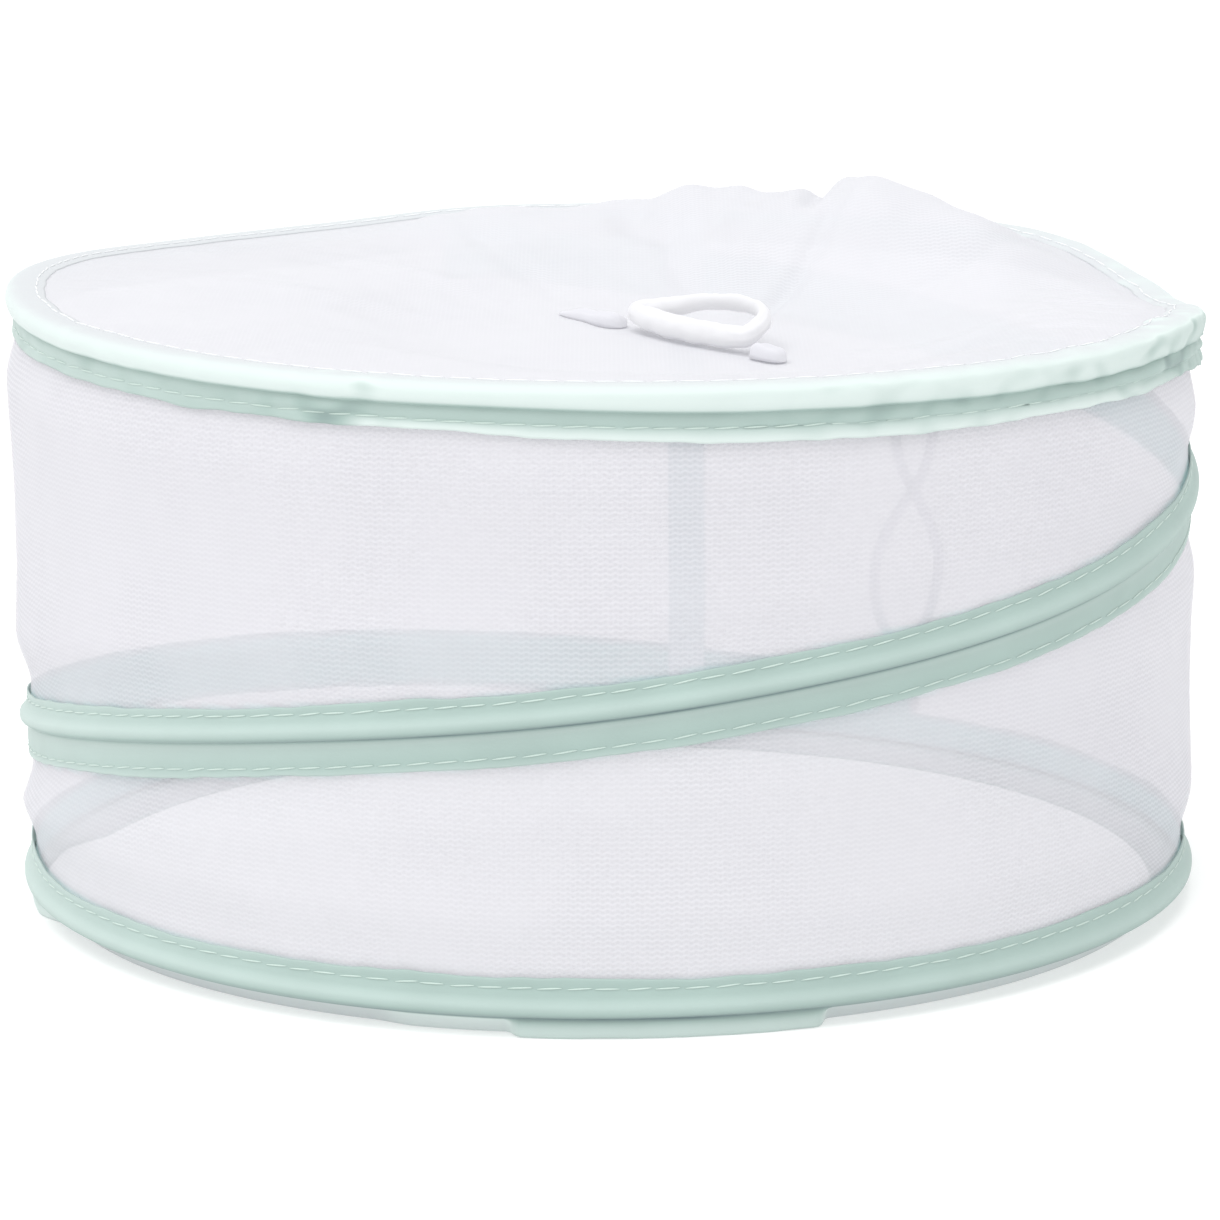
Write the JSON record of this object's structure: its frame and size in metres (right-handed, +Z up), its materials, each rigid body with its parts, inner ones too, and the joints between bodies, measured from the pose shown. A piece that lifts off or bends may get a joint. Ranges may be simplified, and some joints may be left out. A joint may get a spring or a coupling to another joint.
{
  "type": "pop-up mesh food cover",
  "caption": "Round collapsible food cover of white mesh on mint-taped sprung hoops and a climbing wire coil, with a rolled tape handle on top.",
  "frame": {"origin": "centre of the open underside, on the table", "axes": "+Z up through the cover, +X to the right and +Y to the back as pictured"},
  "size_m": [0.3488, 0.3496, 0.2014],
  "materials": {
    "mesh": "fine white knitted polyester mesh, translucent",
    "tape": "mint woven polyester binding, slightly satin",
    "spring_wire": "drawn spring steel wire",
    "crimp": "plain steel crimp sleeve",
    "tip_plastic": "matt white plastic",
    "webbing": "white folded polyester tape",
    "elastic": "pale grey flat elastic"
  },
  "bodies": {
    "base_hoop": {"bottom_hoop_wire": "spring_wire", "bottom_hoop_ferrule": "crimp", "bottom_casing_tape": "tape", "side_mesh_wall": "mesh", "back_seam_tape": "tape", "coil_wire": "spring_wire", "coil_casing_tape": "tape", "coil_bottom_tip": "tip_plastic"},
    "top_hoop": {"top_hoop_wire": "spring_wire", "top_hoop_ferrule": "crimp", "top_casing_tape": "tape", "top_mesh_panel": "mesh", "coil_top_tip": "tip_plastic", "handle_left_tab": "webbing", "handle_right_tab": "webbing", "closing_loop_patch": "tape"},
    "handle": {"handle_grip": "webbing"},
    "elastic_loop": {"closing_loop": "elastic"}
  },
  "joints": [
    {"name": "collapse", "type": "slide", "parent": "base_hoop", "child": "top_hoop", "axis": [0, 0, 1], "range_m": [-0.139, 0], "stiffness_N_per_m": 20, "springref_m": 0.1, "deforming": ["side_mesh_wall", "back_seam_tape", "coil_wire", "coil_casing_tape"]},
    {"name": "handle_flop", "type": "hinge", "parent": "top_hoop", "child": "handle", "pos_m": [0.02247, -0.04421, 0.17191], "axis": [0.7413, -0.6675, -0.0698], "range_deg": [0, 125]},
    {"name": "closing_loop_swing", "type": "hinge", "parent": "top_hoop", "child": "elastic_loop", "pos_m": [0.08203, -0.14799, 0.15994], "axis": [0.8746, 0.4848, 0], "range_deg": [0, 75]}
  ],
  "couplings": [
    {"joint": "closing_loop_swing", "follows": "collapse", "rad_per_m": -9.41}
  ]
}
